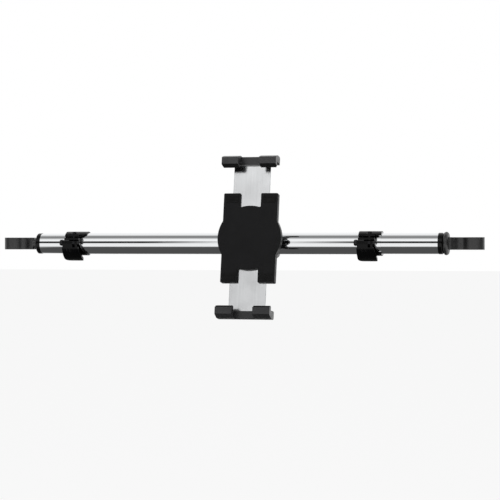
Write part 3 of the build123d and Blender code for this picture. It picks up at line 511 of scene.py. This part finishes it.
pad_rubber = soft_rubber("pad_rubber", colour=(0.008, 0.008, 0.008), bloom_colour=(0.013, 0.0128, 0.0125))
ribbed_pads = new_piece("ribbed_pads", pad_mesh, pad_rubber)
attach(ribbed_pads, "holder")
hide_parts("front_pads")
dress(pad_rubber, "front_pads")


# Arm drive. A natural acetal pinion meshes with the racks in both arms, so that the jaws move together,
# and two springs pull the arms in.
pinion_acetal = moulded_plastic(
    "pinion_acetal", colour=(0.7, 0.69, 0.64), worn_and_highlight_colour=(0.78, 0.77, 0.73),
    roughness=0.42, gloss=0.5, grain_scale=1800.0, grain_depth=0.000008, edge=0.0002,
)
dress(pinion_acetal, "pinion")

coil_radius = 0.00145
wire_radius = 0.00025
coil_length = 0.0829
coil_turns = 66
turn_steps = 12
wire_sides = 6
coil_start = Vector((0.028925, -0.05045, 0.036975))
for spring_name, jaw_body, turned in (("upper_coil", "upper_jaw", 0), ("lower_coil", "lower_jaw", math.pi)):
    coil_mesh = bmesh.new()
    stand = Matrix.Translation((coil_radius, 0, wire_radius)) @ Matrix.Rotation(math.pi / 2, 4, "X")
    wire = bmesh.ops.create_circle(coil_mesh, segments=wire_sides, radius=wire_radius, matrix=stand)["verts"]
    loop = list(dict.fromkeys(edge for vert in wire for edge in vert.link_edges))
    rise = (coil_length - 2 * wire_radius) / (coil_turns * turn_steps)
    bmesh.ops.spin(
        coil_mesh, geom=wire + loop, cent=(0, 0, 0), axis=(0, 0, 1), dvec=(0, 0, rise),
        angle=2 * math.pi * coil_turns, steps=coil_turns * turn_steps,
    )
    wire_ends = [edge for edge in coil_mesh.edges if edge.is_boundary]
    bmesh.ops.holes_fill(coil_mesh, edges=wire_ends, sides=wire_sides)
    along = Matrix.Rotation(turned, 4, "Z") @ Matrix.Translation(coil_start)
    upright = Matrix.Rotation(-math.pi / 2, 4, "X")
    bmesh.ops.transform(coil_mesh, matrix=holder_frame @ along @ upright, verts=coil_mesh.verts)
    coil = new_piece(spring_name, coil_mesh, bolt_zinc)
    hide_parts(jaw_body.replace("jaw", "spring"))
    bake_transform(coil)
dress(bolt_zinc, "upper_spring", "lower_spring")


# Arms. Two strips of bright rolled steel with a slot and a rack punched out of each. The rolling lines run
# along the strip, up the leaning holder, and the punched edges are near-black: dull cut steel, with a painted
# shade line along each edge.
arm_steel = drawn_steel(
    "arm_steel", colour=(0.84, 0.85, 0.86), cut_and_shade_colour=(0.06, 0.06, 0.063), dark_edge_width=0.0008,
    roughness=0.16, across=1600.0, depth=0.000003, turn=(lean, math.radians(90), 0),
)
dress(arm_steel, "upper_arm", "lower_arm")


# Jaws. Each jaw is one moulding in dark grey plastic, a bar with two fingers that end in a lip,
# screwed to its arm from behind. Rubber pads line the fingers and lips.
jaw_plastic = moulded_plastic(
    "jaw_plastic", colour=(0.022, 0.022, 0.023), worn_and_highlight_colour=(0.065, 0.065, 0.067),
    roughness=0.34, gloss=0.5,
)
dress(jaw_plastic, "upper_jaw", "lower_jaw")
dress(liner_rubber, "upper_jaw_pads", "lower_jaw_pads")

jaw_screw_x, jaw_screw_y = 0.017, 0.10015
for end_name, turned, arm_back in (("upper_jaw", 0, 0.03715), ("lower_jaw", math.pi, 0.0354)):
    screw_mesh = bmesh.new()
    for side_x in (-jaw_screw_x, jaw_screw_x):
        seat = Matrix.Rotation(turned, 4, "Z") @ Matrix.Translation((side_x, jaw_screw_y, arm_back))
        cross_screw(
            screw_mesh, holder_frame @ seat @ facing_back,
            head_radius=0.0027, head_height=0.0018, shank_radius=0.0015, shank_length=0.0048,
        )
    arm_screws = new_piece(f"{end_name}_cross_screws", screw_mesh, bolt_zinc)
    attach(arm_screws, end_name)
    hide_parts(f"{end_name}_screws")
dress(bolt_zinc, "upper_jaw_screws", "lower_jaw_screws")


# Studio. The part hangs above a pale floor in a white room under two soft lamps. Metal mirrors the white
# room, and a few grey boards that only reflections see draw the long dark bands on the chrome.
floor_level = -0.5
floor_half = 30.0
floor_grey = 0.6
floor_white_share = 0.9
room_grey = 0.5
floor_mesh = bmesh.new()
bmesh.ops.create_grid(floor_mesh, x_segments=1, y_segments=1, size=floor_half)
bmesh.ops.translate(floor_mesh, verts=floor_mesh.verts, vec=(0, 0, floor_level))
floor_data = bpy.data.meshes.new("studio_floor")
floor_mesh.to_mesh(floor_data)
floor_mesh.free()
studio_floor = bpy.data.objects.new("studio_floor", floor_data)
bpy.context.scene.collection.objects.link(studio_floor)

floor_paint = bpy.data.materials.new("floor_paint")
floor_paint.use_nodes = True
floor_tree = floor_paint.node_tree
floor_tree.nodes.clear()
floor_matt = floor_tree.nodes.new("ShaderNodeBsdfDiffuse")
floor_matt.inputs["Color"].default_value = (floor_grey, floor_grey, floor_grey, 1)
floor_white = floor_tree.nodes.new("ShaderNodeEmission")
floor_white.inputs["Strength"].default_value = 1.0
floor_mix = floor_tree.nodes.new("ShaderNodeMixShader")
floor_end = floor_tree.nodes.new("ShaderNodeOutputMaterial")


def sees_white(tree):
    """1 for rays that show the background: from the camera, off metal or through glass."""
    ray = tree.nodes.new("ShaderNodeLightPath")
    mirrored = math_node(tree, "MAXIMUM", ray.outputs["Is Glossy Ray"], ray.outputs["Is Transmission Ray"])
    return math_node(tree, "MAXIMUM", ray.outputs["Is Camera Ray"], mirrored)


floor_share = math_node(floor_tree, "MULTIPLY", sees_white(floor_tree), floor_white_share)
floor_tree.links.new(floor_share, floor_mix.inputs["Fac"])
floor_tree.links.new(floor_matt.outputs[0], floor_mix.inputs[1])
floor_tree.links.new(floor_white.outputs[0], floor_mix.inputs[2])
floor_tree.links.new(floor_mix.outputs[0], floor_end.inputs["Surface"])
floor_data.materials.append(floor_paint)

world = bpy.data.worlds.new("white_room")
bpy.context.scene.world = world
world.use_nodes = True
sky = world.node_tree
sky.nodes.clear()
room_light = sky.nodes.new("ShaderNodeBackground")
room_light.inputs["Color"].default_value = (room_grey, room_grey, room_grey, 1)
room_white = sky.nodes.new("ShaderNodeBackground")
room_white.inputs["Color"].default_value = (1, 1, 1, 1)
room_mix = sky.nodes.new("ShaderNodeMixShader")
room_end = sky.nodes.new("ShaderNodeOutputWorld")
sky.links.new(sees_white(sky), room_mix.inputs["Fac"])
sky.links.new(room_light.outputs[0], room_mix.inputs[1])
sky.links.new(room_white.outputs[0], room_mix.inputs[2])
sky.links.new(room_mix.outputs[0], room_end.inputs["Surface"])


def grey_board(name, low, high, level, fade):
    """Flat board between two corners, for reflections only, white at its edges and fading to a grey level."""
    wide = [axis for axis in range(3) if high[axis] > low[axis]]
    board_mesh = bmesh.new()
    for vert in bmesh.ops.create_grid(board_mesh, x_segments=1, y_segments=1, size=1)["verts"]:
        corner = list(low)
        for side, axis in zip(vert.co, wide):
            corner[axis] = high[axis] if side > 0 else low[axis]
        vert.co = corner
    board_data = bpy.data.meshes.new(name)
    board_mesh.to_mesh(board_data)
    board_mesh.free()
    material, tree, shader, place = new_material(name)
    tree.nodes.remove(shader)
    parts = tree.nodes.new("ShaderNodeSeparateXYZ")
    tree.links.new(place, parts.inputs["Vector"])
    share = 1.0
    for axis in wide:
        part = parts.outputs[axis]
        rise = range_node(tree, part, low[axis], low[axis] + fade, 0.0, 1.0)
        fall = range_node(tree, part, high[axis] - fade, high[axis], 1.0, 0.0)
        share = math_node(tree, "MULTIPLY", math_node(tree, "MULTIPLY", rise, fall), share)
    glow = tree.nodes.new("ShaderNodeEmission")
    tree.links.new(mix_colours(tree, share, (1, 1, 1), (level, level, level)), glow.inputs["Color"])
    tree.links.new(glow.outputs[0], tree.nodes["Material Output"].inputs["Surface"])
    board_data.materials.append(material)
    stand = bpy.data.objects.new(name, board_data)
    stand.visible_camera = False
    stand.visible_diffuse = False
    stand.visible_shadow = False
    bpy.context.scene.collection.objects.link(stand)


# Two dark boards in front, with a gap that the arms mirror, one at each side, a grey one above and a dark
# one below.
grey_board("board_front_left", low=(-9.0, -3.0, 0.0), high=(-0.45, -3.0, 1.5), level=0.02, fade=0.3)
grey_board("board_front_right", low=(-0.38, -3.0, 0.0), high=(9.0, -3.0, 1.5), level=0.02, fade=0.3)
grey_board("board_left", low=(-3.0, -5.0, -1.5), high=(-3.0, 0.0, 1.5), level=0.02, fade=0.4)
grey_board("board_right", low=(3.6, -4.0, -1.5), high=(3.6, 1.5, 1.5), level=0.02, fade=0.4)
grey_board("board_above", low=(-9.0, -2.5, 2.5), high=(9.0, 1.1, 2.5), level=0.25, fade=1.4)
grey_board("board_below", low=(-0.4, -0.8, -0.45), high=(0.85, 1.2, -0.45), level=0.08, fade=0.25)


def soft_lamp(name, place, aim, size, power):
    """Square soft box that points at a place."""
    lamp = bpy.data.lights.new(name, "AREA")
    lamp.size = size
    lamp.energy = power
    box = bpy.data.objects.new(name, lamp)
    box.location = place
    box.rotation_euler = (Vector(aim) - Vector(place)).to_track_quat("-Z", "Y").to_euler()
    box.visible_glossy = False
    bpy.context.scene.collection.objects.link(box)


middle = (cad_low + cad_high) / 2
soft_lamp("key_lamp", place=(-0.6, -2.0, 1.7), aim=middle, size=1.4, power=34.0)
soft_lamp("fill_lamp", place=(0.9, -2.6, 0.9), aim=middle, size=1.6, power=14.0)

# Camera to the right of the holder at the height of the pole, as far off as the photo's perspective asks.
view_angle = math.radians(14.5)
view_distance = 2.342
sensor_width = 36.0
focal_pixels, picture_pixels = 1780, 500
span_middle = Vector((0.3172, -0.0075, 0))
camera_data = bpy.data.cameras.new("camera")
camera_data.sensor_width = sensor_width
camera_data.lens = sensor_width * focal_pixels / picture_pixels
camera_data.shift_x = 0.0266
camera_data.shift_y = -0.013
camera = bpy.data.objects.new("camera", camera_data)
camera.location = span_middle + view_distance * Vector((math.sin(view_angle), -math.cos(view_angle), 0))
camera.rotation_euler = (math.radians(90), 0, view_angle)
bpy.context.scene.collection.objects.link(camera)
bpy.context.scene.camera = camera
bpy.context.scene.view_settings.view_transform = "Standard"
